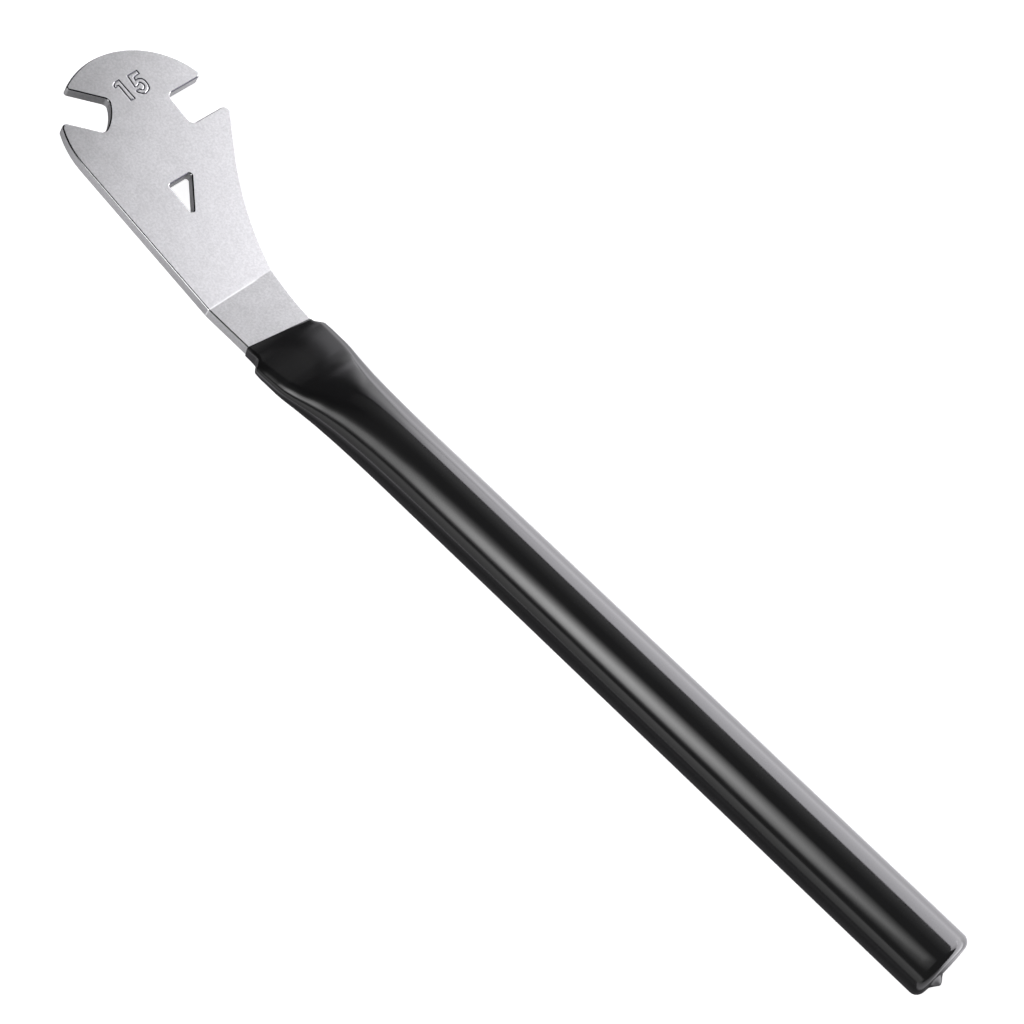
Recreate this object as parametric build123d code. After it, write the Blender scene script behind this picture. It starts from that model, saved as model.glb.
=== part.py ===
from build123d import *
import math
import os

# Pedal wrench: a bent steel jaw plate whose tang is gripped in the flattened
# end of a steel tube, and a dipped soft sleeve over the tube.
# Bench frame: X runs along the handle towards the head, the handle's axis is
# Y = Z = 0, +Z is the upper side, and the plate bends at X = 0.
# All sizes are in millimetres and degrees.

# Jaw plate
plate_thickness = 5.0
bend_angle = 12.8
bend_inner_radius = 1.5
edge_radius = 0.6
neck_left = 14.6           # distance of the left edge from the axis
shoulder_x = 72.0          # where the straight left edge ends
shoulder_y = 16.8
horn_radius = 39.3         # round back of the left horn
horn_end_x = 95.0          # where that round ends, inside the left jaw's cut
horn_end_y = 10.8
neck_right = 14.1          # distance of the right edge at its narrowest
flank_start = -37.0        # where the straight right edge turns into the flank
flank_radius = 148.0       # long hollow edge from the neck to the right horn
flank_angle = 34.0
head_radius = 35.6
head_x = 72.1
head_y = -16.5

# Jaws, both for the same flats
jaw_width = 15.1
jaw_corner_radius = 2.4
right_jaw_x = 73.1
right_jaw_floor = 32.7     # distance of the right jaw's floor from the axis
left_jaw_angle = 45.0
left_jaw_cross_x = 90.4    # where the left jaw's centre line meets the axis
left_jaw_reach = 8.8       # from that point back to the jaw's floor
left_jaw_floor_radius = 20.0
left_horn_tip_radius = 2.0
nose_tip_radius = 1.2
right_horn_tip_radius = 2.5
right_nose_tip_radius = 1.8

# Three-cornered hole, placed by its square corner
hole_x = 49.4
hole_y = -6.9
hole_length = 15.8
hole_width = 11.9
hole_corner_radius = 1.0

# Tang inside the tube
tang_length = 24.0
tang_corner = 4.0

# Handle tube
tube_diameter = 25.4
tube_wall = 1.5
tube_mouth = 30.0          # distance of the tube's mouth from the bend
mouth_taper = 0.07         # how fast the flat end thins towards its mouth
flat_width = 33.8          # outside width of the flattened end
flat_length = 10.0
swell_length = 48.0        # from the flat end to the round tube
flat_crown = 1.5           # half angle of the slight crown on the flat
round_crown = 22.0         # half angle of the same arc where the tube is round
swell_power = 1.55         # how fast the flat end swells to the round tube
swell_stations = 5
handle_length = 364.0      # from the bend to the sleeve's far end

# Dipped sleeve
sleeve_skin = 1.1
lip_skin = 0.6
lip_length = 6.1           # along the axis, beyond the tube's mouth
lip_slant = -8.0
lip_corner_radius = 1.3
mouth_radius = 0.8
mouth_hollow_radius = 0.6
sleeve_end_wall = 2.2
sleeve_end_radius = 3.5
drip_radius = 3.8
drip_height = 2.6
drip_y = 2.0
drip_z = -0.8

# Clearance between the pieces
fit_gap = 0.05

half_plate = plate_thickness / 2
half_jaw = jaw_width / 2
bend_sin = math.sin(math.radians(bend_angle))
bend_cos = math.cos(math.radians(bend_angle))
flank_turn = math.radians(flank_angle)
flat_end = tube_mouth + flat_length
round_start = flat_end + swell_length
tang_end = tube_mouth + tang_length
flat_reach = flat_width / 2 - half_plate - fit_gap - tube_wall
tube_inset = sleeve_skin + fit_gap
flat_radius = half_plate + fit_gap + tube_wall + tube_inset
sleeve_radius = tube_diameter / 2 + tube_inset

# The head's own plane: X along the head, origin on the upper face at the bend
head_plane = Plane(
    origin=(0, 0, half_plate),
    x_dir=(bend_cos, 0, bend_sin),
    z_dir=(-bend_sin, 0, bend_cos),
)


def flank_point(turn):
    """Point on the hollow right edge, by how far the edge has turned."""
    return (
        flank_start + flank_radius * math.sin(turn),
        -neck_right - flank_radius * (1 - math.cos(turn)),
    )


def flank_side(x):
    """Distance to the side of the flank's straight end at a given reach."""
    end_x, end_y = flank_point(flank_turn)
    return end_y - (x - end_x) * math.tan(flank_turn)


def left_jaw_mouth():
    """Where the left jaw's centre line leaves the head's round front."""
    turn = math.radians(left_jaw_angle)
    offset_x = left_jaw_cross_x - head_x
    along = offset_x * math.cos(turn) - head_y * math.sin(turn)
    across = offset_x * math.sin(turn) + head_y * math.cos(turn)
    reach = math.sqrt(head_radius**2 - across**2) - along
    return (left_jaw_cross_x + reach * math.cos(turn), reach * math.sin(turn))


def right_jaw_mouth():
    """Where the right jaw's centre line leaves the head's round front."""
    return (right_jaw_x, head_y - math.sqrt(head_radius**2 - (right_jaw_x - head_x) ** 2))


def blank_outline():
    """Flat outline of the plate before its jaws and hole are cut."""
    horn_end = (horn_end_x, horn_end_y)
    flank_foot = (right_jaw_x, flank_side(right_jaw_x))
    front = (head_x + head_radius, head_y)
    edges = [
        Line((-tang_end, neck_left), (0, neck_left)),
        Line((0, neck_left), (shoulder_x, shoulder_y)),
        RadiusArc((shoulder_x, shoulder_y), horn_end, horn_radius),
        Line(horn_end, left_jaw_mouth()),
        ThreePointArc(left_jaw_mouth(), front, right_jaw_mouth()),
        Line(right_jaw_mouth(), flank_foot),
        Line(flank_foot, flank_point(flank_turn)),
        ThreePointArc(flank_point(flank_turn), flank_point(flank_turn / 2), flank_point(0)),
        Line(flank_point(0), (-tang_end, -neck_right)),
        Line((-tang_end, -neck_right), (-tang_end, neck_left)),
    ]
    return make_face(Wire(edges))


def right_jaw_cut():
    """Straight slot, open to the right, with a flat floor."""
    depth = head_radius * 2
    slot = Pos(right_jaw_x, -right_jaw_floor - depth / 2) * Rectangle(jaw_width, depth)
    return fillet(slot.vertices().group_by(Axis.Y)[-1], jaw_corner_radius)


def left_jaw_cut():
    """Slot at an angle through the nose, with a slightly hollow floor."""
    depth = head_radius * 2
    sagitta = left_jaw_floor_radius - math.sqrt(left_jaw_floor_radius**2 - half_jaw**2)
    floor = -left_jaw_reach
    side = floor + sagitta
    edges = [
        Line((side, half_jaw), (depth, half_jaw)),
        Line((depth, half_jaw), (depth, -half_jaw)),
        Line((depth, -half_jaw), (side, -half_jaw)),
        ThreePointArc((side, -half_jaw), (floor, 0), (side, half_jaw)),
    ]
    slot = make_face(Wire(edges))
    slot = fillet(slot.vertices().group_by(Axis.X)[0], jaw_corner_radius)
    return Pos(left_jaw_cross_x, 0) * Rot(0, 0, left_jaw_angle) * slot


def hole_cut():
    """Three-cornered hole whose long side runs beside the hollow flank."""
    corners = [
        (hole_x, hole_y),
        (hole_x, hole_y - hole_width),
        (hole_x - hole_length, hole_y),
    ]
    hole = make_face(Polyline(corners, close=True))
    return fillet(hole.vertices(), hole_corner_radius)


def vertex_near(shape, x, y):
    """The corner of a flat outline nearest to a point."""
    return shape.vertices().sort_by_distance((x, y, 0))[0]


def plate_outline():
    """Finished flat outline with rounded horn and nose tips."""
    outline = blank_outline() - right_jaw_cut() - left_jaw_cut() - hole_cut()
    slot_side = half_jaw * math.sqrt(2)
    tips = [
        (right_jaw_x - half_jaw, head_y - head_radius, right_horn_tip_radius),
        (right_jaw_x + half_jaw, head_y - head_radius, right_nose_tip_radius),
        (left_jaw_cross_x, slot_side, left_horn_tip_radius),
        (left_jaw_cross_x + slot_side, 0, nose_tip_radius),
    ]
    for x, y, radius in tips:
        outline = fillet(vertex_near(outline, x, y), radius)
    return outline


def bent_slab(grow=0.0):
    """Sheet of the plate's thickness, bent once, wider than the head."""
    reach = 2 * head_radius + head_x
    top = half_plate + grow
    thickness = plate_thickness + 2 * grow
    half_turn = math.tan(math.radians(bend_angle / 2))
    top_bend = -grow * half_turn
    low = top - thickness
    low_bend = top_bend + thickness * half_turn
    points = [
        (-reach, top),
        (top_bend, top),
        (top_bend + reach * bend_cos, top + reach * bend_sin),
        (low_bend + reach * bend_cos, low + reach * bend_sin),
        (low_bend, low),
        (-reach, low),
    ]
    side = make_face(Polyline(points, close=True))
    upper = vertex_near(side, top_bend, top)
    side = fillet(upper, bend_inner_radius)
    lower = vertex_near(side, low_bend, low)
    side = fillet(lower, bend_inner_radius + thickness)
    return extrude(Plane.XZ * side, reach, both=True)


def head_side(distance, slant=0.0):
    """Block that fills everything on the head's side of a plane."""
    reach = handle_length
    block = Box(reach, reach, reach, align=(Align.MIN, Align.CENTER, Align.CENTER))
    return Pos(-distance, 0, 0) * Rot(0, 0, slant) * block


def bent_plate(grow=0.0):
    """Bent and cut plate up to the tube's mouth, with square edges."""
    outline = plate_outline()
    if grow:
        outline = offset(blank_outline(), grow)
    prism = extrude(head_plane * outline, 2 * head_radius, both=True)
    plate = bent_slab(grow) & prism
    return plate & head_side(tube_mouth - fit_gap)


def face_edges(plate):
    """Edges between the plate's broad faces and its narrow sides."""
    def is_broad(face):
        direction = face.normal_at(face.center())
        return abs(direction.Z) > bend_cos - bend_sin

    owners = {}
    for face in plate.faces():
        for edge in face.edges():
            owners.setdefault(edge, []).append(is_broad(face))
    return [edge for edge, broad in owners.items() if len(broad) == 2 and sum(broad) == 1]


def jaw_plate():
    """Plate with rounded edges and the tang that goes into the tube."""
    plate = bent_plate()
    tang_root = tang_corner - tube_mouth
    edges = [e for e in face_edges(plate) if e.center().X > tang_root]
    plate = fillet(ShapeList(edges), edge_radius)
    tang = Pos(-tang_end, 0, 0) * Box(
        tang_end + tang_root,
        2 * flat_reach,
        plate_thickness,
        align=(Align.MIN, Align.CENTER, Align.CENTER),
    )
    end_corners = tang.edges().filter_by(Axis.Z).group_by(Axis.X)[0]
    return plate + chamfer(end_corners, tang_corner)


def oval(station, side_radius, reach, crown):
    """Oval of four arcs across the handle, crowned above and below."""
    rise = side_radius + reach * math.tan(crown / 2)
    joint_y = reach + side_radius * math.sin(crown)
    joint_z = side_radius * math.cos(crown)
    edges = [
        ThreePointArc((joint_y, joint_z), (0, rise), (-joint_y, joint_z)),
        ThreePointArc((-joint_y, joint_z), (-reach - side_radius, 0), (-joint_y, -joint_z)),
        ThreePointArc((-joint_y, -joint_z), (0, -rise), (joint_y, -joint_z)),
        ThreePointArc((joint_y, -joint_z), (reach + side_radius, 0), (joint_y, joint_z)),
    ]
    plane = Plane(origin=(-station, 0, 0), x_dir=(0, 1, 0), z_dir=(1, 0, 0))
    return plane * make_face(Wire(edges))


def swell_section(share, inset):
    """Handle's section, from flat at share 0 to round at share 1."""
    swell = 1 - (1 - share) ** swell_power
    side_radius = flat_radius + (sleeve_radius - flat_radius) * swell
    crown = flat_crown + (round_crown - flat_crown) * share
    return oval(
        flat_end + swell_length * share,
        side_radius - inset,
        flat_reach * (1 - swell),
        math.radians(crown),
    )


def handle_body(inset, end, taper=mouth_taper):
    """Solid with the handle's outside form, drawn in by an inset."""
    sections = [swell_section(k / (swell_stations - 1), inset) for k in range(swell_stations)]
    thin_length = 2 * flat_length
    thin_radius = flat_radius - inset - taper * thin_length
    thin = oval(flat_end - thin_length, thin_radius, flat_reach, math.radians(flat_crown))
    body = loft(sections)
    body += loft([thin, sections[0]])
    body += extrude(sections[-1], end - round_start, dir=(-1, 0, 0))
    return body


def handle_tube():
    """Steel tube, flattened over the tang and round at the hand."""
    end = handle_length - sleeve_end_wall
    outside = handle_body(tube_inset, end)
    inside = handle_body(tube_inset + tube_wall, end, 0)
    return outside - inside - head_side(tube_mouth)


def drip():
    """Small set drop at the middle of the sleeve's end."""
    ball_radius = (drip_radius**2 + drip_height**2) / (2 * drip_height)
    center_x = ball_radius - drip_height - handle_length
    ball = Pos(center_x, drip_y, drip_z) * Sphere(ball_radius)
    keep = Pos(sleeve_end_wall / 2 - handle_length, 0, 0) * Box(
        handle_length, handle_length, handle_length, align=(Align.MAX, Align.CENTER, Align.CENTER)
    )
    return ball & keep


def mouth_lip():
    """Thin lip of the sleeve that lies on the plate beyond the tube's mouth."""
    left = neck_left + lip_skin
    right = neck_right + lip_skin
    section = RectangleRounded(left + right, 2 * (half_plate + lip_skin), lip_corner_radius)
    plane = Plane(origin=(-flat_end, (left - right) / 2, 0), x_dir=(0, 1, 0), z_dir=(1, 0, 0))
    lip = extrude(plane * section, flat_end)
    return lip - head_side(tube_mouth - lip_length, lip_slant)


def grip_sleeve():
    """Soft skin over the tube, with a thin lip on the plate and a closed end."""
    mouth_x = mouth_radius - tube_mouth
    body = handle_body(0, handle_length)
    end_rim = body.edges().filter_by(GeomType.CIRCLE).group_by(Axis.X)[0]
    body = fillet(end_rim, sleeve_end_radius)
    body -= head_side(-mouth_x)
    rim = body.faces().sort_by(Axis.X)[-1].edges()
    body = fillet(rim, mouth_radius)
    body += mouth_lip()
    mouth_face = [f for f in body.faces() if f.inner_wires()][-1]
    body = fillet(mouth_face.inner_wires()[0].edges(), mouth_hollow_radius)
    sleeve = body + drip()
    core = handle_body(sleeve_skin, handle_length - sleeve_end_wall + fit_gap)
    core -= head_side(tube_mouth - fit_gap)
    return sleeve - core - bent_plate(fit_gap)


def horn_tip_center():
    """Middle of the right horn's rounded tip, on the lower edge's rounding."""
    x = right_jaw_x - half_jaw - right_horn_tip_radius
    y = flank_side(x) + right_horn_tip_radius / math.cos(flank_turn)
    depth = plate_thickness - edge_radius
    return (x * bend_cos + depth * bend_sin, y, half_plate + x * bend_sin - depth * bend_cos)


def horn_clearance(roll):
    """Height of the right horn above the floor the handle lies on."""
    across = math.sin(math.radians(roll))
    upward = math.cos(math.radians(roll))
    center = horn_tip_center()
    height = center[1] * across + center[2] * upward
    in_plate = math.hypot(across, upward * bend_sin)
    reach = (right_horn_tip_radius - edge_radius) * in_plate + edge_radius
    return sleeve_radius + height - reach


def rest_roll():
    """Roll at which the right horn and the handle's side both touch the floor."""
    low, high = 0.0, 90.0
    while high - low > 1e-6:
        middle = (low + high) / 2
        if horn_clearance(middle) > 0:
            low = middle
        else:
            high = middle
    return low


def main():
    pieces = {
        "jaw_plate": jaw_plate(),
        "handle_tube": handle_tube(),
        "grip_sleeve": grip_sleeve(),
    }
    turned = {name: Rot(rest_roll(), 0, 0) * piece for name, piece in pieces.items()}
    box = Compound(children=[Compound([p]) for p in turned.values()]).bounding_box()
    shift = Pos(-box.center().X, -box.center().Y, -box.min.Z)
    os.makedirs("parts", exist_ok=True)
    for name, piece in turned.items():
        placed = shift * piece
        export_step(placed, f"parts/{name}.step")
        size = placed.bounding_box().size
        print(name, f"{size.X:.1f} x {size.Y:.1f} x {size.Z:.1f}", f"volume {placed.volume:.0f}")


main()
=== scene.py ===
import bpy
import bmesh
import math
from mathutils import Matrix, Quaternion, Vector
from mathutils.geometry import delaunay_2d_cdt


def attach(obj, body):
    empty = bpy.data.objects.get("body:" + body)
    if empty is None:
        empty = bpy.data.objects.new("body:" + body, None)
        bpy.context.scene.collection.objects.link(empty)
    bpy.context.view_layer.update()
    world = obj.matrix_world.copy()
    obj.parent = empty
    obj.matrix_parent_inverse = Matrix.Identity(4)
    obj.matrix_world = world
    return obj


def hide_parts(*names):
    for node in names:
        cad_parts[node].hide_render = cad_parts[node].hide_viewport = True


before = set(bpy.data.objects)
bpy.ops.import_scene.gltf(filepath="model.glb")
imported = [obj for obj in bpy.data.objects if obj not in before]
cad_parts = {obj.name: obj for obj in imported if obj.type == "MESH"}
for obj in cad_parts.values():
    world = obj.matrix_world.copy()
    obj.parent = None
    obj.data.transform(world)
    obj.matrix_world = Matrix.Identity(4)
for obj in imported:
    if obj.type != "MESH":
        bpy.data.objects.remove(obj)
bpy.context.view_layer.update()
print("packed model loaded:", sorted(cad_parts))

mm = 0.001

# how the wrench lies: the handle rolled until the right horn touches the table
rest = {
    "roll": 28.55341449,                        # degrees
    "shift": (130.293345, 18.788444, 13.85),    # mm, to the bend's middle
    "bend": 12.8,                               # degrees
    "upperFace": 2.5,                           # mm above the middle of the plate
}

benchToRow = (
    Matrix.Translation(Vector(rest["shift"]) * mm)
    @ Matrix.Rotation(math.radians(rest["roll"]), 4, "X")
    @ Matrix.Scale(mm, 4)
)
# the head's own plane: x along the head, z up from its upper face
headToRow = (
    benchToRow
    @ Matrix.Translation((0, 0, rest["upperFace"]))
    @ Matrix.Rotation(math.radians(-rest["bend"]), 4, "Y")
)


def mix(a, b, t):
    return a + (b - a) * t


def easeStep(low, high, x):
    t = min(max((x - low) / (high - low), 0.0), 1.0)
    return t * t * (3 - 2 * t)


def newPiece(name, mesh, material):
    piece = bpy.data.objects.new(name, mesh)
    bpy.context.scene.collection.objects.link(piece)
    mesh.materials.clear()
    mesh.materials.append(material)
    return piece


def smoothFaces(piece, sharpAngle):
    piece.data.shade_smooth()
    piece.data.set_sharp_from_angle(angle=math.radians(sharpAngle))
    weighted = piece.modifiers.new("evenNormals", "WEIGHTED_NORMAL")
    weighted.keep_sharp = True
    weighted.weight = 80


# small helpers for node materials
def newMaterial(name):
    material = bpy.data.materials.new(name)
    material.use_nodes = True
    nodes = material.node_tree.nodes
    nodes.clear()
    output = nodes.new("ShaderNodeOutputMaterial")
    shader = nodes.new("ShaderNodeBsdfPrincipled")
    material.node_tree.links.new(shader.outputs["BSDF"], output.inputs["Surface"])
    return material, material.node_tree, shader


def objectSpace(tree):
    return tree.nodes.new("ShaderNodeTexCoord").outputs["Object"]


def noiseTexture(tree, coords, size, detail, roughness):
    # size is that of one cloud, mm
    node = tree.nodes.new("ShaderNodeTexNoise")
    node.inputs["Scale"].default_value = 1 / (size * mm)
    node.inputs["Detail"].default_value = detail
    node.inputs["Roughness"].default_value = roughness
    tree.links.new(coords, node.inputs["Vector"])
    return node.outputs["Fac"]


def spread(tree, value, low, high, fromLow=0.0, fromHigh=1.0):
    # fromLow to fromHigh stretched to low to high
    node = tree.nodes.new("ShaderNodeMapRange")
    node.inputs["From Min"].default_value = fromLow
    node.inputs["From Max"].default_value = fromHigh
    node.inputs["To Min"].default_value = low
    node.inputs["To Max"].default_value = high
    tree.links.new(value, node.inputs["Value"])
    return node.outputs["Result"]


def blendColors(tree, fac, first, second):
    # sockets 6, 7 and 2 are the ones for colours
    node = tree.nodes.new("ShaderNodeMix")
    node.data_type = "RGBA"
    tree.links.new(fac, node.inputs["Factor"])
    for socket, value in ((node.inputs[6], first), (node.inputs[7], second)):
        if hasattr(value, "is_linked"):
            tree.links.new(value, socket)
        else:
            socket.default_value = (*value, 1.0)
    return node.outputs[2]


def blendValues(tree, fac, first, second):
    # sockets 0, 2 and 3 are the ones for single values
    node = tree.nodes.new("ShaderNodeMix")
    for number, value in ((0, fac), (2, first), (3, second)):
        tree.links.new(value, node.inputs[number])
    return node.outputs[0]


def addBump(tree, height, depth, below=None):
    # depth in mm, over the bump below
    node = tree.nodes.new("ShaderNodeBump")
    node.inputs["Strength"].default_value = 1.0
    node.inputs["Distance"].default_value = depth * mm
    tree.links.new(height, node.inputs["Height"])
    if below is not None:
        tree.links.new(below, node.inputs["Normal"])
    return node.outputs["Normal"]


def brightnessRamp(tree, value, stops):
    # values along a line, from (place, share of full) pairs
    low, high = stops[0][0], stops[-1][0]
    ramp = tree.nodes.new("ShaderNodeValToRGB")
    tree.links.new(spread(tree, value, 0.0, 1.0, low, high), ramp.inputs["Fac"])
    marks = ramp.color_ramp.elements
    while len(marks) < len(stops):
        marks.new(0.5)
    # every place before the first colour, because moved marks change their order
    for mark, (place, share) in zip(marks, stops):
        mark.position = (place - low) / (high - low)
    for mark, (place, share) in zip(marks, stops):
        mark.color = (share, share, share, 1.0)
    return ramp.outputs["Color"]


def combine(tree, operation, first, second):
    node = tree.nodes.new("ShaderNodeMath")
    node.operation = operation
    for socket, value in zip(node.inputs, (first, second)):
        if hasattr(value, "is_linked"):
            tree.links.new(value, socket)
        else:
            socket.default_value = value
    return node.outputs[0]


def multiply(tree, first, second):
    return combine(tree, "MULTIPLY", first, second)


def reachAlong(tree, vector, direction):
    # how far a vector reaches along a fixed direction
    node = tree.nodes.new("ShaderNodeVectorMath")
    node.operation = "DOT_PRODUCT"
    tree.links.new(vector, node.inputs[0])
    node.inputs[1].default_value = direction
    return node.outputs["Value"]


def geometry(tree, what):
    return tree.nodes.new("ShaderNodeNewGeometry").outputs[what]


# pearl-plated steel: satin, with a very fine matt grain
plating = {
    "light": (0.70, 0.70, 0.705),
    "dark": (0.55, 0.55, 0.555),
    # painted shade in the stamped grooves
    "groove": (0.13, 0.13, 0.14),
    # painted shade along the left edges
    "paintedEdgeShade": (0.05, 0.05, 0.06),
    # painted highlight in the bend
    "paintedBendHighlight": (0.97, 0.97, 0.97),
    # how far over the left edges their painted shade line goes, by the normal's Y and by the flatness
    "edgeTurn": [(-1.0, 0.0), (-0.46, 0.0), (-0.44, 1.0), (0.2, 1.0), (0.32, 0.0), (1.0, 0.0)],
    "edgeFlat": [(0.0, 0.0), (0.35, 0.0), (0.5, 1.0), (1.0, 1.0)],
    # the bend's painted highlight line across and along itself: (mm, share)
    "bendWidth": [(-0.56, 0.0), (-0.28, 1.0), (0.0, 1.0), (0.28, 0.0)],
    "bendLength": [(-40, 0.0), (-12, 0.0), (-9, 1.0), (40, 1.0)],
    # painted shade from the neck to the head, and from there to the head's far left corner: (mm,
    # share)
    "neckShade": [(-30, 0.92), (-18, 0.94), (-3, 1.0), (-0.6, 1.0), (0.6, 0.87), (120, 0.87)],
    "tipShade": [(-30, 1.0), (60, 1.0), (77, 0.91), (93, 0.80), (120, 0.75)],
    "tipWay": (1, 0.6),     # towards the tip, to the left
    "roughness": (0.44, 0.52),
    "edgeRoughness": (0.14, 0.20),
    # where the smoother, rounded edges are, by the flatness
    "edges": [(0.0, 0.0), (0.12, 0.0), (0.25, 1.0), (0.975, 1.0), (0.993, 0.0), (1.0, 0.0)],
    "cloudSize": 6.0,       # mm
    "speckSize": 0.9,       # mm
    "grainSize": 0.45,      # mm
    "grainDepth": 0.012,    # mm
    "waveSize": 9.0,        # mm
    "waveDepth": 0.01,      # mm
}


def flatness(tree):
    # 1 on the flat faces of head and neck, 0 on upright walls
    slopes = []
    for space in (benchToRow, headToRow):
        up = (space.to_3x3() @ Vector((0, 0, 1))).normalized()
        slopes.append(reachAlong(tree, geometry(tree, "Normal"), up))
    return combine(tree, "MAXIMUM", *slopes)


def alongPlate(tree, coords, way, stops):
    # values over the head's flat face, from (mm, share) pairs; way is (towards the tip, to the left)
    direction = headToRow.to_3x3() @ Vector((*way, 0)) / mm
    start = direction.dot(headToRow.translation)
    places = [(start + place * mm, share) for place, share in stops]
    return brightnessRamp(tree, reachAlong(tree, coords, direction), places)


def plateBase(tree, coords, cloud):
    # clouds and specks, with painted shade in the stamped grooves, on the head against the neck and
    # towards the tip
    speck = noiseTexture(tree, coords, plating["speckSize"], 2.0, 0.7)
    both = combine(
        tree, "ADD",
        spread(tree, cloud, 0.0, 0.25, 0.35, 0.65),
        spread(tree, speck, 0.0, 0.75, 0.35, 0.65),
    )
    color = blendColors(tree, both, plating["dark"], plating["light"])
    groove = tree.nodes.new("ShaderNodeAttribute")
    groove.attribute_name = "groove"
    # painted shade in the grooves, by their depth
    color = blendColors(tree, spread(tree, groove.outputs["Fac"], 0.0, 0.8), color, plating["groove"])
    # painted shade: the head darker than the neck, and darker again towards its far left corner
    paintedShade = multiply(
        tree,
        alongPlate(tree, coords, (1, 0), plating["neckShade"]),
        alongPlate(tree, coords, plating["tipWay"], plating["tipShade"]),
    )
    return blendColors(tree, paintedShade, (0, 0, 0), color)


def paintedPlateLines(tree, coords, color):
    # painted shade line where the left edges turn down, painted highlight line in the bend
    sides = tree.nodes.new("ShaderNodeSeparateXYZ")
    tree.links.new(geometry(tree, "Normal"), sides.inputs[0])
    edge = multiply(
        tree,
        brightnessRamp(tree, sides.outputs["Y"], plating["edgeTurn"]),
        brightnessRamp(tree, flatness(tree), plating["edgeFlat"]),
    )
    bend = multiply(
        tree,
        alongPlate(tree, coords, (1, 0), plating["bendWidth"]),
        alongPlate(tree, coords, (0, 1), plating["bendLength"]),
    )
    # painted shade line on the left edges
    color = blendColors(tree, edge, color, plating["paintedEdgeShade"])
    # painted highlight line in the bend
    return blendColors(tree, bend, color, plating["paintedBendHighlight"])


def makePlating():
    material, tree, shader = newMaterial("pearlPlating")
    coords = objectSpace(tree)
    cloud = noiseTexture(tree, coords, plating["cloudSize"], 3.0, 0.6)
    color = paintedPlateLines(tree, coords, plateBase(tree, coords, cloud))
    tree.links.new(color, shader.inputs["Base Color"])
    face = spread(tree, cloud, *plating["roughness"], 0.3, 0.7)
    edge = spread(tree, cloud, *plating["edgeRoughness"], 0.3, 0.7)
    onEdges = brightnessRamp(tree, flatness(tree), plating["edges"])
    tree.links.new(blendValues(tree, onEdges, face, edge), shader.inputs["Roughness"])
    grain = noiseTexture(tree, coords, plating["grainSize"], 2.0, 0.7)
    wave = noiseTexture(tree, coords, plating["waveSize"], 1.0, 0.5)
    fine = addBump(tree, grain, plating["grainDepth"])
    tree.links.new(addBump(tree, wave, plating["waveDepth"], fine), shader.inputs["Normal"])
    shader.inputs["Metallic"].default_value = 1.0
    return material


# bare tube steel, drawn lengthways
drawnSteel = {
    "light": (0.55, 0.55, 0.56),
    "dark": (0.40, 0.40, 0.42),
    "roughness": (0.28, 0.42),
    "stretch": 0.05,        # lines 20 times as long as they are wide
    "lineSize": 0.4,        # mm
    "lineDepth": 0.01,      # mm
}


def makeDrawnSteel():
    material, tree, shader = newMaterial("drawnSteel")
    stretch = tree.nodes.new("ShaderNodeMapping")
    stretch.inputs["Scale"].default_value = (drawnSteel["stretch"], 1.0, 1.0)
    tree.links.new(objectSpace(tree), stretch.inputs["Vector"])
    lines = noiseTexture(tree, stretch.outputs["Vector"], drawnSteel["lineSize"], 3.0, 0.6)
    color = blendColors(tree, lines, drawnSteel["dark"], drawnSteel["light"])
    tree.links.new(color, shader.inputs["Base Color"])
    tree.links.new(spread(tree, lines, *drawnSteel["roughness"]), shader.inputs["Roughness"])
    tree.links.new(addBump(tree, lines, drawnSteel["lineDepth"]), shader.inputs["Normal"])
    shader.inputs["Metallic"].default_value = 1.0
    return material


# dipped vinyl: black, smooth and half glossy
vinyl = {
    "light": (0.006, 0.006, 0.0065),
    "dark": (0.004, 0.004, 0.0045),
    "roughness": (0.10, 0.15),
    "ior": 1.6,
    "cloudSize": 12.0,      # mm
    "waveSize": 26.0,       # mm
    "waveDepth": 0.05,      # mm
    "skinSize": 0.8,        # mm
    "skinDepth": 0.0015,    # mm
}


def makeVinyl():
    material, tree, shader = newMaterial("dippedVinyl")
    coords = objectSpace(tree)
    cloud = noiseTexture(tree, coords, vinyl["cloudSize"], 3.0, 0.6)
    color = blendColors(tree, cloud, vinyl["dark"], vinyl["light"])
    tree.links.new(color, shader.inputs["Base Color"])
    tree.links.new(spread(tree, cloud, *vinyl["roughness"], 0.3, 0.7), shader.inputs["Roughness"])
    wave = noiseTexture(tree, coords, vinyl["waveSize"], 1.0, 0.5)
    skin = noiseTexture(tree, coords, vinyl["skinSize"], 2.0, 0.6)
    fine = addBump(tree, skin, vinyl["skinDepth"])
    tree.links.new(addBump(tree, wave, vinyl["waveDepth"], fine), shader.inputs["Normal"])
    shader.inputs["IOR"].default_value = vinyl["ior"]
    return material


platingMaterial = makePlating()
steelMaterial = makeDrawnSteel()
vinylMaterial = makeVinyl()
print("materials made")


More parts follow.
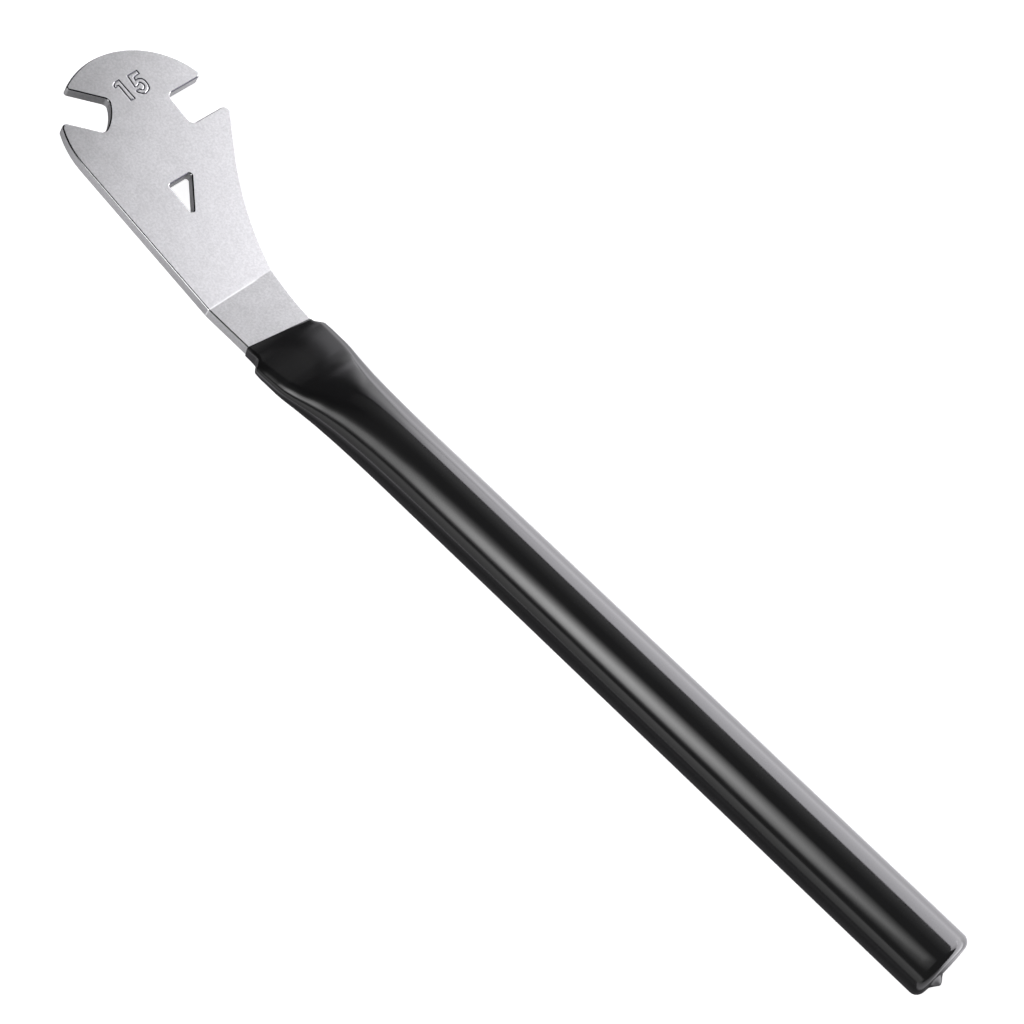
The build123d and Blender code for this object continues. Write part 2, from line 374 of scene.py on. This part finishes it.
# size number stamped in outline on the head; points in the head's own plane, mm
stamp = {
    "patch": (84.0, -30.4, 96.6, -14.4),     # low x, low y, high x, high y
    "step": 0.13,                            # side of the patch's squares
    "halfWidth": 0.38,                       # of the groove
    "depth": 0.13,
    "shift": (0.15, 0.15),
    "one": [
        (93.2, -16.1), (94.3, -16.3), (94.8, -16.9), (95.1, -17.8), (95.1, -19.6),
        (85.75, -20.0), (85.7, -18.1), (93.25, -18.0), (93.4, -17.2),
    ],
    "five": [
        (94.9, -23.9), (95.0, -28.7), (93.6, -28.7), (93.25, -25.8), (91.75, -25.35),
        (91.75, -26.8), (91.2, -28.0), (90.2, -28.7), (89.0, -28.8), (87.7, -28.7),
        (86.5, -28.1), (85.8, -27.0), (85.35, -25.4), (85.7, -24.3), (86.5, -23.3),
        (87.0, -22.9), (87.9, -22.6), (87.9, -24.4), (87.3, -24.9), (87.1, -25.5),
        (87.5, -26.5), (88.2, -27.1), (88.8, -27.2), (89.5, -26.9), (90.2, -26.4),
        (90.2, -25.8), (89.75, -25.0), (89.5, -24.0), (89.6, -23.3), (91.0, -23.5),
    ],
}


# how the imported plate's mesh is taken over
jawPlate = {
    "weld": 0.002,          # mm between points that are made one
    "flatWithin": 0.004,    # mm from the upper face's plane
    "fillMargin": 1e-7,     # mm between points that count as one in the new face
    "sharpAngle": 28,       # degrees
}


def outlineSegments():
    # straight stretches of both digits, end to end
    shift = Vector(stamp["shift"])
    segments = []
    for digit in ("one", "five"):
        points = [Vector(p) + shift for p in stamp[digit]]
        segments += zip(points, points[1:] + points[:1])
    return segments


def grooveDepth(x, y, segments):
    # a rounded groove along the digits' outlines
    here = Vector((x, y))
    nearest = stamp["halfWidth"]
    for a, b in segments:
        edge = b - a
        t = min(max((here - a).dot(edge) / edge.length_squared, 0.0), 1.0)
        nearest = min(nearest, (here - a - edge * t).length)
    return stamp["depth"] * 0.5 * (1 + math.cos(math.pi * nearest / stamp["halfWidth"]))


def stampPatch(work):
    # fine grid over the digits; gives back its border in order
    x0, y0, x1, y1 = stamp["patch"]
    across = round((x1 - x0) / stamp["step"])
    along = round((y1 - y0) / stamp["step"])
    segments = outlineSegments()
    groove = work.verts.layers.float["groove"]
    grid = []
    for i in range(across + 1):
        x = mix(x0, x1, i / across)
        column = []
        for j in range(along + 1):
            y = mix(y0, y1, j / along)
            depth = grooveDepth(x, y, segments)
            column.append(work.verts.new(headToRow @ Vector((x, y, -depth))))
            column[-1][groove] = depth / stamp["depth"]
        grid.append(column)
    for i in range(across):
        for j in range(along):
            work.faces.new((grid[i][j], grid[i + 1][j], grid[i + 1][j + 1], grid[i][j + 1]))
    border = [grid[i][0] for i in range(across)]
    border += [grid[-1][j] for j in range(along)]
    border += [grid[i][-1] for i in range(across, 0, -1)]
    border += [grid[0][j] for j in range(along, 0, -1)]
    return border


def inLoop(point, loop):
    # whether a point lies inside a closed outline
    inside = False
    for a, b in zip(loop, loop[1:] + loop[:1]):
        if (a.y > point.y) != (b.y > point.y):
            if point.x < a.x + (point.y - a.y) * (b.x - a.x) / (b.y - a.y):
                inside = not inside
    return inside


def openLoops(edges):
    # boundary edges chained into closed loops of points
    links = {}
    for edge in edges:
        a, b = edge.verts
        links.setdefault(a, []).append(b)
        links.setdefault(b, []).append(a)
    loops = []
    while links:
        start = next(iter(links))
        loop, here, before = [], start, None
        while here in links:
            loop.append(here)
            following = [v for v in links.pop(here) if v is not before]
            before = here
            here = next((v for v in following if v in links), None)
        loops.append(loop)
    return loops


def refillHead(work, loops, border):
    # flat upper face again, with the hole and the stamped patch left open
    toHead = headToRow.inverted()
    allLoops = loops + [border]
    corners = [v for loop in allLoops for v in loop]
    flat = [(toHead @ v.co).to_2d() for v in corners]
    edges, outlines, first = [], [], 0
    for loop in allLoops:
        count = len(loop)
        edges += [(first + k, first + (k + 1) % count) for k in range(count)]
        outlines.append(flat[first:first + count])
        first += count
    result = delaunay_2d_cdt(flat, edges, [], 0, jawPlate["fillMargin"])
    places, faces, sources = result[0], result[2], result[3]
    # a face is kept where an odd number of outlines goes round it
    for face in faces:
        middle = sum((places[k] for k in face), Vector((0, 0))) / len(face)
        if sum(inLoop(middle, outline) for outline in outlines) % 2 == 1:
            work.faces.new([corners[sources[k][0]] for k in face])


def makePlate():
    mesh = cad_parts["jaw_plate"].data.copy()
    work = bmesh.new()
    work.from_mesh(mesh)
    work.verts.layers.float.new("groove")
    bmesh.ops.remove_doubles(work, verts=work.verts, dist=jawPlate["weld"] * mm)
    toHead = headToRow.inverted()
    onFace = {v for v in work.verts if abs((toHead @ v.co).z) < jawPlate["flatWithin"]}
    upper = [f for f in work.faces if all(v in onFace for v in f.verts)]
    bmesh.ops.delete(work, geom=upper, context="FACES")
    loops = openLoops([e for e in work.edges if e.is_boundary])
    print("upper face reopened, loops:", [len(loop) for loop in loops])
    border = stampPatch(work)
    refillHead(work, loops, border)
    bmesh.ops.recalc_face_normals(work, faces=work.faces)
    print("open edges left:", sum(e.is_boundary for e in work.edges))
    work.to_mesh(mesh)
    work.free()
    plate = newPiece("jawPlate", mesh, platingMaterial)
    smoothFaces(plate, jawPlate["sharpAngle"])
    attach(plate, "root")
    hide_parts("jaw_plate")
    return plate


plate = makePlate()
print("jaw plate made:", len(plate.data.vertices), "points")


# sleeve over the handle; mm and degrees, and places along the handle are counted from the bend
grip = {
    "roundRadius": 13.85,
    # place, radius of the sides, reach of the flat, half angle of the top arc
    "form": [
        (20, 2.75, 15.3, 2.5), (24, 2.78, 15.3, 2.5), (26, 2.95, 15.2, 2.5), (28, 3.25, 15.05, 2.6),
        (30, 3.6, 14.9, 2.8), (32, 3.9, 14.7, 3.0), (34, 4.15, 14.5, 3.2), (36, 4.35, 14.25, 3.4),
        (38, 4.5, 14.05, 3.6), (40, 4.65, 13.85, 3.7), (42, 4.8, 13.65, 3.8), (45, 5.1, 13.1, 4.0),
        (50, 6.1, 11.3, 4.4), (55, 7.7, 8.86, 5.2), (60, 9.1, 6.7, 6.2), (65, 10.4, 4.85, 8.0),
        (70, 11.4, 3.4, 10.5), (75, 12.1, 2.4, 13.5), (80, 12.6, 1.68, 17.0), (85, 13.0, 1.1, 20.0),
        (90, 13.3, 0.7, 22.0), (95, 13.55, 0.37, 22.0), (100, 13.75, 0.12, 22.0),
        (106, 13.85, 0.0, 22.0),
    ],
    "roundStart": 106.0,
    "length": 364.0,
    "endRadius": 3.5,
    "endWall": 2.2,
    "skin": 1.1,
    "lipSkin": 0.6,
    "skinGrows": (34, 46),          # from the lip's thickness to the skin's
    # the lip's edge builds up: run along the plate, thickness
    "lipBuild": [(0.0, 0.08), (0.01, 0.2), (0.06, 0.34), (0.16, 0.47), (0.3, 0.56), (0.48, 0.6)],
    "lipEdge": 23.9,                # where the lip ends on the axis
    "lipSlant": 8.0,
    "slantFades": (26, 36),
    "insideSlantFades": (26, 29.5),
    "sideStep": (27.2, 31.0),       # from the plate's outline to the tube's
    "mouth": 30.0,                  # where the hollow widens from the plate to the tube
    "mouthStep": 0.02,              # half the length of that step
    "plateLeft": 14.6,
    "plateRight": 14.1,
    "plateCorner": 0.7,
    "plateGap": 0.08,
    # points round half a ring, over its top and down its side
    "crownPoints": 24,
    "sidePoints": 60,
    # spacing or number of the rings along the handle
    "lipSpacing": 0.4,
    "insideSpacing": 0.9,
    "insideEnds": (0.6, 0.3),       # kept free behind the lip's edge and before the mouth
    "swellStart": 48.0,
    "swellEnd": 110.0,
    "swellSpacing": 1.2,
    "roundRings": 70,
    "endRings": 12,
    "dripRings": 30,
    "coreRings": (40, 12),          # up to the round length, along it
}
# small set drop left on the closed end by the dipping, mm
drip = {"y": 4.0, "z": -2.2, "radius": 4.0, "height": 2.6, "tipRadius": 0.8}


def smoothRow(rows, s):
    # the values at s, from rows that begin with their place, joined by smooth curves
    s = min(max(s, rows[0][0]), rows[-1][0])
    k = max(i for i in range(len(rows) - 1) if rows[i][0] <= s)
    here, ahead = rows[k], rows[k + 1]
    behind, beyond = rows[max(k - 1, 0)], rows[min(k + 2, len(rows) - 1)]
    width = ahead[0] - here[0]
    t = (s - here[0]) / width
    row = []
    for n in range(1, len(here)):
        slope0 = (ahead[n] - behind[n]) / (ahead[0] - behind[0])
        slope1 = (beyond[n] - here[n]) / (beyond[0] - here[0])
        row.append(
            (2 * t**3 - 3 * t**2 + 1) * here[n] + (t**3 - 2 * t**2 + t) * width * slope0
            + (-2 * t**3 + 3 * t**2) * ahead[n] + (t**3 - t**2) * width * slope1
        )
    return row


def bodyForm(s):
    radius, reach, crown = smoothRow(grip["form"], s)
    return radius, max(reach, 0.0), math.radians(crown)


def ovalPoints(radius, reach, crown):
    # four arcs that meet smoothly, from the top's right end round by the left
    points = []
    big = radius + reach / math.sin(crown)
    center = -reach / math.tan(crown)
    for half in (1, -1):
        for k in range(grip["crownPoints"]):
            turn = mix(-crown, crown, k / grip["crownPoints"])
            points.append((half * big * math.sin(turn), half * (center + big * math.cos(turn))))
        for k in range(grip["sidePoints"]):
            turn = mix(crown, math.pi - crown, k / grip["sidePoints"])
            y = reach + radius * math.sin(turn)
            points.append((half * y, half * radius * math.cos(turn)))
    return points


ovalStore = {}


def storedOval(s):
    # the outside's section at s, worked out once
    key = round(s, 4)
    if key not in ovalStore:
        ovalStore[key] = ovalPoints(*bodyForm(s))
    return ovalStore[key]


def lipPoints(skin):
    # rounded box close round the plate, in the same order
    left, right = grip["plateLeft"] + skin, grip["plateRight"] + skin
    tall = rest["upperFace"] + skin
    corner = grip["plateCorner"] + skin
    bow = corner * math.pi / 2
    straight = 2 * (tall - corner)
    points = []
    for half in (1, -1):
        near, far = (right, left) if half == 1 else (left, right)
        for k in range(grip["crownPoints"]):
            y = mix(-(near - corner), far - corner, k / grip["crownPoints"])
            points.append((half * y, half * tall))
        for k in range(grip["sidePoints"]):
            run = (2 * bow + straight) * k / grip["sidePoints"]
            if run < bow:
                turn = run / corner
                y = far - corner + corner * math.sin(turn)
                z = tall - corner + corner * math.cos(turn)
            elif run < bow + straight:
                y, z = far, tall - corner - (run - bow)
            else:
                turn = (run - straight) / corner
                y = far - corner + corner * math.sin(turn)
                z = -tall + corner + corner * math.cos(turn)
            points.append((half * y, half * z))
    return points


def slanted(s, lean, y):
    # place along the handle at the side distance y, where rings lean with the lip's edge
    return s - lean * math.tan(math.radians(grip["lipSlant"])) * y


def skinRing(s, lean, edgeSkin=None):
    # one leaning ring of the outside, or of the lip's edge where its thickness is given
    skin = grip["lipSkin"] if edgeSkin is None else edgeSkin
    lipTop = rest["upperFace"] + skin
    ring = []
    for k, (lipY, lipZ) in enumerate(lipPoints(skin)):
        here = slanted(s, lean, lipY)
        radius, reach, crown = bodyForm(here)
        y, z = storedOval(here)[k]
        bodyTop = radius + reach * math.tan(crown / 2)
        step = easeStep(*grip["sideStep"], here)
        tall = bodyTop if edgeSkin is None else lipTop
        ring.append((here, mix(lipY, y, step), tall * mix(lipZ / lipTop, z / bodyTop, step)))
    return ring


def bodyRing(s):
    return [(s, y, z) for y, z in ovalPoints(*bodyForm(s))]


def dripRise(away):
    # a low pointed drop whose foot runs out softly into the flat end
    blunt = drip["tipRadius"]
    share = max(0.0, 1 - (math.hypot(away, blunt) - blunt) / drip["radius"])
    return drip["height"] * share**1.5


def endRings(last):
    # the rounded rim, then rings that close in on the drop
    rings = []
    for k in range(1, grip["endRings"] + 1):
        turn = math.pi / 2 * k / grip["endRings"]
        shrink = 1 - grip["endRadius"] * (1 - math.cos(turn)) / grip["roundRadius"]
        here = last + grip["endRadius"] * math.sin(turn)
        rings.append([(here, y * shrink, z * shrink) for y, z in ovalPoints(*bodyForm(last))])
    rim = rings[-1]
    for k in range(1, grip["dripRings"]):
        t = k / grip["dripRings"]
        ring = []
        for here, y, z in rim:
            y, z = mix(y, drip["y"], t), mix(z, drip["z"], t)
            away = math.hypot(y - drip["y"], z - drip["z"])
            ring.append((grip["length"] + dripRise(away), y, z))
        rings.append(ring)
    return rings


def outsideRings():
    # from the lip's edge to the closed end
    edge = grip["lipEdge"]
    rings = [skinRing(edge + run, 1.0, skin) for run, skin in grip["lipBuild"]]
    s = edge + 2 * grip["lipSpacing"]
    while s < grip["swellStart"]:
        rings.append(skinRing(s, 1 - easeStep(*grip["slantFades"], s)))
        s += grip["lipSpacing"]
    while s < grip["swellEnd"]:
        rings.append(bodyRing(s))
        s += grip["swellSpacing"]
    last = grip["length"] - grip["endRadius"]
    for k in range(grip["roundRings"] + 1):
        rings.append(bodyRing(mix(s, last, k / grip["roundRings"])))
    return rings + endRings(last)


def coreStations(first, last):
    # close together where the section changes, wide apart on the round length
    changing, even = grip["coreRings"]
    middle = grip["roundStart"]
    stations = [mix(first, middle, k / changing) for k in range(changing)]
    return stations + [mix(middle, last, k / even) for k in range(even + 1)]


def coreRing(s, inset):
    # the section under the sleeve's skin, or further in
    radius, reach, crown = bodyForm(s)
    skin = mix(grip["lipSkin"], grip["skin"], easeStep(*grip["skinGrows"], s))
    return [(s, y, z) for y, z in ovalPoints(radius - skin - inset, reach, crown)]


def insideRings():
    # from the lip's edge to the bottom of the hollow
    hollow = lipPoints(grip["plateGap"])
    behindEdge, beforeMouth = grip["insideEnds"]
    rings = []
    s = grip["lipEdge"] + behindEdge
    while s < grip["mouth"] - beforeMouth:
        lean = 1 - easeStep(*grip["insideSlantFades"], s)
        rings.append([(slanted(s, lean, y), y, z) for y, z in hollow])
        s += grip["insideSpacing"]
    before = grip["mouth"] - grip["mouthStep"]
    after = grip["mouth"] + grip["mouthStep"]
    rings.append([(before, y, z) for y, z in hollow])
    for s in coreStations(after, grip["length"] - grip["endWall"]):
        rings.append(coreRing(s, 0.0))
    return rings


def skinRings(work, rings, closed):
    # faces from ring to ring, and from the last to the first where closed
    made = []
    for ring in rings:
        made.append([work.verts.new(benchToRow @ Vector((-x, y, z))) for x, y, z in ring])
    ahead = made[1:] + made[:1] if closed else made[1:]
    for first, second in zip(made, ahead):
        for k in range(len(first)):
            j = (k + 1) % len(first)
            work.faces.new((first[k], first[j], second[j], second[k]))
    return made


def makeGrip():
    work = bmesh.new()
    made = skinRings(work, insideRings()[::-1] + outsideRings(), False)
    bottom = Vector((grip["endWall"] - grip["length"], 0, 0))
    peak = Vector((-grip["length"] - drip["height"], drip["y"], drip["z"]))
    deepest = work.verts.new(benchToRow @ bottom)
    tip = work.verts.new(benchToRow @ peak)
    for k in range(len(made[0])):
        j = (k + 1) % len(made[0])
        work.faces.new((deepest, made[0][j], made[0][k]))
        work.faces.new((tip, made[-1][k], made[-1][j]))
    bmesh.ops.recalc_face_normals(work, faces=work.faces)
    mesh = bpy.data.meshes.new("gripSleeve")
    work.to_mesh(mesh)
    work.free()
    piece = newPiece("gripSleeve", mesh, vinylMaterial)
    mesh.shade_smooth()
    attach(piece, "root")
    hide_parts("grip_sleeve")
    return piece


gripPiece = makeGrip()
print("grip sleeve made:", len(gripPiece.data.vertices), "points")

# steel tube under the sleeve, pressed flat over the plate's tang; mm, as for the sleeve
tube = {
    "mouth": 33.0,
    "gap": 0.05,                # to the sleeve
    "wall": 1.5,
    "mouthWall": 0.8,
    "wallGrows": (33.0, 42.0),  # from the mouth's wall to the full one
    "sharpAngle": 40,           # degrees
}


def makeTube():
    low, high = tube["wallGrows"]
    outer, inner = [], []
    for s in coreStations(tube["mouth"], grip["length"] - grip["endWall"] - tube["gap"]):
        wall = mix(tube["mouthWall"], tube["wall"], min((s - low) / (high - low), 1.0))
        outer.append(coreRing(s, tube["gap"]))
        inner.append(coreRing(s, tube["gap"] + wall))
    work = bmesh.new()
    skinRings(work, outer + inner[::-1], True)
    bmesh.ops.recalc_face_normals(work, faces=work.faces)
    mesh = bpy.data.meshes.new("handleTube")
    work.to_mesh(mesh)
    work.free()
    piece = newPiece("handleTube", mesh, steelMaterial)
    smoothFaces(piece, tube["sharpAngle"])
    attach(piece, "root")
    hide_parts("handle_tube")
    return piece


tubePiece = makeTube()
print("tube made:", len(tubePiece.data.vertices), "points")


# white table, m; for glossy rays it glows in strips, a painted reflection that gloss mirrors
# bright on the right, dim on the left and pale past the handle's end; the strips give (place, share)
# along X and across in Y
table = {
    "size": 6.0,
    "color": 0.82,
    "roughness": 0.6,
    "glow": 0.78,
    "tint": (1.0, 0.985, 1.03),
    "right": {
        "level": 5.2,
        "along": [
            (-0.10, 1.0), (0.03, 1.0), (0.065, 0.76), (0.105, 0.66), (0.14, 0.62), (0.17, 0.4),
            (0.20, 0.25), (0.26, 0.3), (0.34, 0.75), (0.60, 0.75),
        ],
        "across": [
            (-0.60, 0.0), (-0.452, 0.0), (-0.446, 0.97), (-0.20, 1.0), (-0.063, 0.98),
            (-0.023, 0.50), (0.0, 0.22), (0.02, 0.02), (0.40, 0.0),
        ],
    },
    "left": {
        "level": 1.35,
        "along": [(0.02, 0.12), (0.09, 0.25), (0.13, 0.9), (0.16, 1.0), (0.30, 1.0)],
        "across": [
            (-0.01, 0.0), (0.036, 0.1), (0.041, 0.12), (0.05, 0.3), (0.08, 0.34), (0.12, 1.0),
            (0.40, 1.0),
        ],
    },
    "end": {
        "level": 4.5,
        "along": [
            (-0.60, 0.6), (-0.36, 0.8), (-0.28, 1.0), (-0.252, 1.0), (-0.245, 0.0), (0.0, 0.0),
        ],
        "across": [(-0.40, 1.0), (0.0, 1.0), (0.012, 0.6), (0.03, 0.22), (0.40, 0.22)],
    },
}


def tableStrip(tree, axes, strip):
    # how brightly one part of the table glows for glossy rays, a painted reflection
    shares = multiply(
        tree,
        brightnessRamp(tree, axes.outputs["Y"], strip["across"]),
        brightnessRamp(tree, axes.outputs["X"], strip["along"]),
    )
    return multiply(tree, shares, strip["level"])


def makeTable():
    half = table["size"] / 2
    corners = [(-half, -half, 0), (half, -half, 0), (half, half, 0), (-half, half, 0)]
    mesh = bpy.data.meshes.new("table")
    mesh.from_pydata(corners, [], [(0, 1, 2, 3)])
    material, tree, shader = newMaterial("tableWhite")
    shader.inputs["Base Color"].default_value = (table["color"],) * 3 + (1.0,)
    shader.inputs["Roughness"].default_value = table["roughness"]
    nodes, links = tree.nodes, tree.links
    paths = nodes.new("ShaderNodeLightPath")
    axes = nodes.new("ShaderNodeSeparateXYZ")
    links.new(geometry(tree, "Position"), axes.inputs[0])
    right, left, end = (tableStrip(tree, axes, table[part]) for part in ("right", "left", "end"))
    total = combine(tree, "MAXIMUM", combine(tree, "ADD", right, left), end)
    mirrored = nodes.new("ShaderNodeEmission")
    mirrored.inputs["Color"].default_value = (*table["tint"], 1.0)
    links.new(total, mirrored.inputs["Strength"])
    seen = nodes.new("ShaderNodeEmission")
    glow = multiply(tree, paths.outputs["Is Camera Ray"], table["glow"])
    links.new(glow, seen.inputs["Strength"])
    lit = nodes.new("ShaderNodeAddShader")
    links.new(shader.outputs["BSDF"], lit.inputs[0])
    links.new(seen.outputs[0], lit.inputs[1])
    both = nodes.new("ShaderNodeMixShader")
    links.new(paths.outputs["Is Glossy Ray"], both.inputs[0])
    links.new(lit.outputs[0], both.inputs[1])
    links.new(mirrored.outputs[0], both.inputs[2])
    links.new(both.outputs[0], nodes["Material Output"].inputs["Surface"])
    piece = newPiece("table", mesh, material)


makeTable()

# soft panels, m; a mirrored panel of level 1 would look white, tilt is in degrees, and the
# ramps give (place, share) along and across it
cool = (1.0, 0.985, 1.035)
panels = {
    "rightPanel": {
        "center": (-0.07, -0.45, 0.093), "aim": (-0.07, 0.0, 0.093), "size": (1.06, 0.40),
        "tilt": 8.5, "level": 5.2, "color": cool,
        "along": [
            (-0.53, 0.6), (-0.28, 1.0), (0.11, 1.0), (0.176, 0.92), (0.218, 0.85), (0.26, 0.64),
            (0.277, 0.50), (0.31, 0.32), (0.35, 0.26), (0.43, 0.19), (0.46, 0.09), (0.49, 0.05),
            (0.53, 0.0),
        ],
        "across": [(-0.20, 1.0), (0.155, 1.0), (0.17, 0.0), (0.20, 0.0)],
    },
    "rightFar": {
        "center": (0.64, -0.48, 0.0), "aim": (0.64, 0.0, 0.0), "size": (0.5, 0.24),
        "tilt": 10.0, "level": 2.9, "color": cool,
        "along": [(-0.25, 0.0), (-0.18, 0.8), (-0.1, 1.0), (0.25, 1.0)],
        "across": [(-0.12, 1.0), (0.0, 1.0), (0.02, 0.66), (0.045, 0.36), (0.07, 0.12), (0.12, 0.0)],
    },
    "rightFoot": {
        "center": (0.33, -0.47, 0.075), "aim": (0.33, 0.0, 0.075), "size": (0.40, 0.21),
        "tilt": 0.0, "level": 1.0,
        "along": [
            (-0.20, 0.0), (-0.12, 0.9), (0.0, 1.0), (0.11, 1.0), (0.14, 0.7), (0.18, 0.15),
            (0.20, 0.0),
        ],
        "across": [(-0.105, 1.0), (0.03, 1.0), (0.055, 0.35), (0.09, 0.08), (0.105, 0.0)],
    },
    "rightGlow": {
        "center": (-0.05, -0.45, 0.60), "aim": (-0.05, 0.0, 0.60), "size": (1.1, 0.74),
        "tilt": 0.0, "level": 0.36,
        "along": [(-0.55, 0.4), (-0.3, 1.0), (0.30, 1.0), (0.35, 0.75), (0.41, 0.55), (0.55, 0.2)],
        "across": [(-0.37, 1.0), (-0.20, 0.85), (-0.06, 0.45), (0.14, 0.22), (0.37, 0.0)],
    },
    "topSoftbox": {
        "center": (0.17, 0.42, 0.93), "aim": (-0.05, 0.0, 0.0), "size": (1.0, 1.1),
        "tilt": 0.0, "level": 6.4, "skew": 0.21,
        "along": [
            (-0.50, 0.0), (-0.36, 0.08), (-0.30, 0.42), (-0.232, 0.47), (-0.134, 0.80),
            (-0.036, 1.0), (0.034, 0.86), (0.09, 0.56), (0.13, 0.36), (0.19, 0.30), (0.22, 0.08),
            (0.35, 0.0),
        ],
        "across": [
            (-0.55, 0.0), (-0.50, 0.12), (-0.44, 0.18), (-0.39, 0.55), (-0.25, 0.87), (-0.10, 1.0),
            (0.0, 0.93), (0.12, 0.66), (0.27, 0.36), (0.42, 0.13), (0.55, 0.0),
        ],
    },
    "leftPanel": {
        "center": (0.0, 0.95, 0.225), "aim": (0.0, 0.0, 0.225), "size": (1.6, 0.51),
        "tilt": 10.0, "level": 0.8,
        "along": [(-0.8, 0.5), (-0.4, 1.0), (0.4, 1.0), (0.8, 0.5)],
        "across": [
            (-0.255, 0.4), (-0.225, 0.43), (-0.045, 0.65), (0.125, 0.95), (0.21, 1.0),
            (0.255, 0.0),
        ],
    },
}


def makePanel(name, panel):
    # a lamp that lies along X apart from its tilt, and that the camera itself doesn't see
    lamp = bpy.data.lights.new(name, "AREA")
    lamp.shape = "RECTANGLE"
    lamp.size, lamp.size_y = panel["size"]
    lamp.energy = panel["level"] * math.pi * lamp.size * lamp.size_y
    lamp.color = panel.get("color", (1, 1, 1))
    center = Vector(panel["center"])
    facing = (Vector(panel["aim"]) - center).normalized()
    along = Vector((1, 0, 0)) - facing * facing.x
    along.rotate(Quaternion(facing, math.radians(panel["tilt"])))
    along.normalize()
    across = along.cross(facing)
    if across.z < 0:
        across.negate()
    side = across.cross(-facing)
    lamp.use_nodes = True
    tree = lamp.node_tree
    offset = tree.nodes.new("ShaderNodeVectorMath")
    offset.operation = "SUBTRACT"
    tree.links.new(geometry(tree, "Position"), offset.inputs[0])
    offset.inputs[1].default_value = center
    skewed = along + across * panel.get("skew", 0.0)
    shares = []
    for axis, stops in ((skewed, panel["along"]), (across, panel["across"])):
        reach = reachAlong(tree, offset.outputs[0], axis)
        shares.append(brightnessRamp(tree, reach, stops))
    tree.links.new(multiply(tree, *shares), tree.nodes["Emission"].inputs["Strength"])
    piece = bpy.data.objects.new(name, lamp)
    bpy.context.scene.collection.objects.link(piece)
    turn = Matrix((side, across, -facing)).transposed()
    piece.matrix_world = Matrix.Translation(center) @ turn.to_4x4()
    piece.visible_camera = False


for name, panel in panels.items():
    makePanel(name, panel)

# dim room, darker towards the head's end, white where the camera sees past the table
room = {
    "level": 0.15,
    "towardsHead": [(-1.0, 1.0), (0.37, 1.0), (0.48, 0.4), (1.0, 0.4)],
}


def makeRoom():
    world = bpy.data.worlds.new("room")
    bpy.context.scene.world = world
    world.use_nodes = True
    tree = world.node_tree
    nodes, links = tree.nodes, tree.links
    axes = nodes.new("ShaderNodeSeparateXYZ")
    links.new(nodes.new("ShaderNodeTexCoord").outputs["Generated"], axes.inputs[0])
    shares = brightnessRamp(tree, axes.outputs["X"], room["towardsHead"])
    level = multiply(tree, shares, room["level"])
    seen = nodes.new("ShaderNodeLightPath").outputs["Is Camera Ray"]
    links.new(combine(tree, "MAXIMUM", level, seen), nodes["Background"].inputs["Strength"])
    nodes["Background"].inputs["Color"].default_value = (1, 1, 1, 1)


makeRoom()
bpy.context.scene.view_settings.view_transform = "Standard"

# the photograph's viewpoint
view = {
    "place": (-0.27984103, 0.10415529, 1.02661423),     # m
    "turn": (14.41269187, 6.96075018, -135.00131236),   # degrees
    "lens": 100.4716,                                   # mm
    "sensor": 36.0,                                     # mm
    "nearest": 0.01,                                    # m
}
lens = bpy.data.cameras.new("viewpoint")
lens.lens = view["lens"]
lens.sensor_width = view["sensor"]
lens.clip_start = view["nearest"]
camera = bpy.data.objects.new("viewpoint", lens)
camera.location = view["place"]
camera.rotation_euler = [math.radians(a) for a in view["turn"]]
bpy.context.scene.collection.objects.link(camera)
bpy.context.scene.camera = camera
print("table, lamps and camera placed")
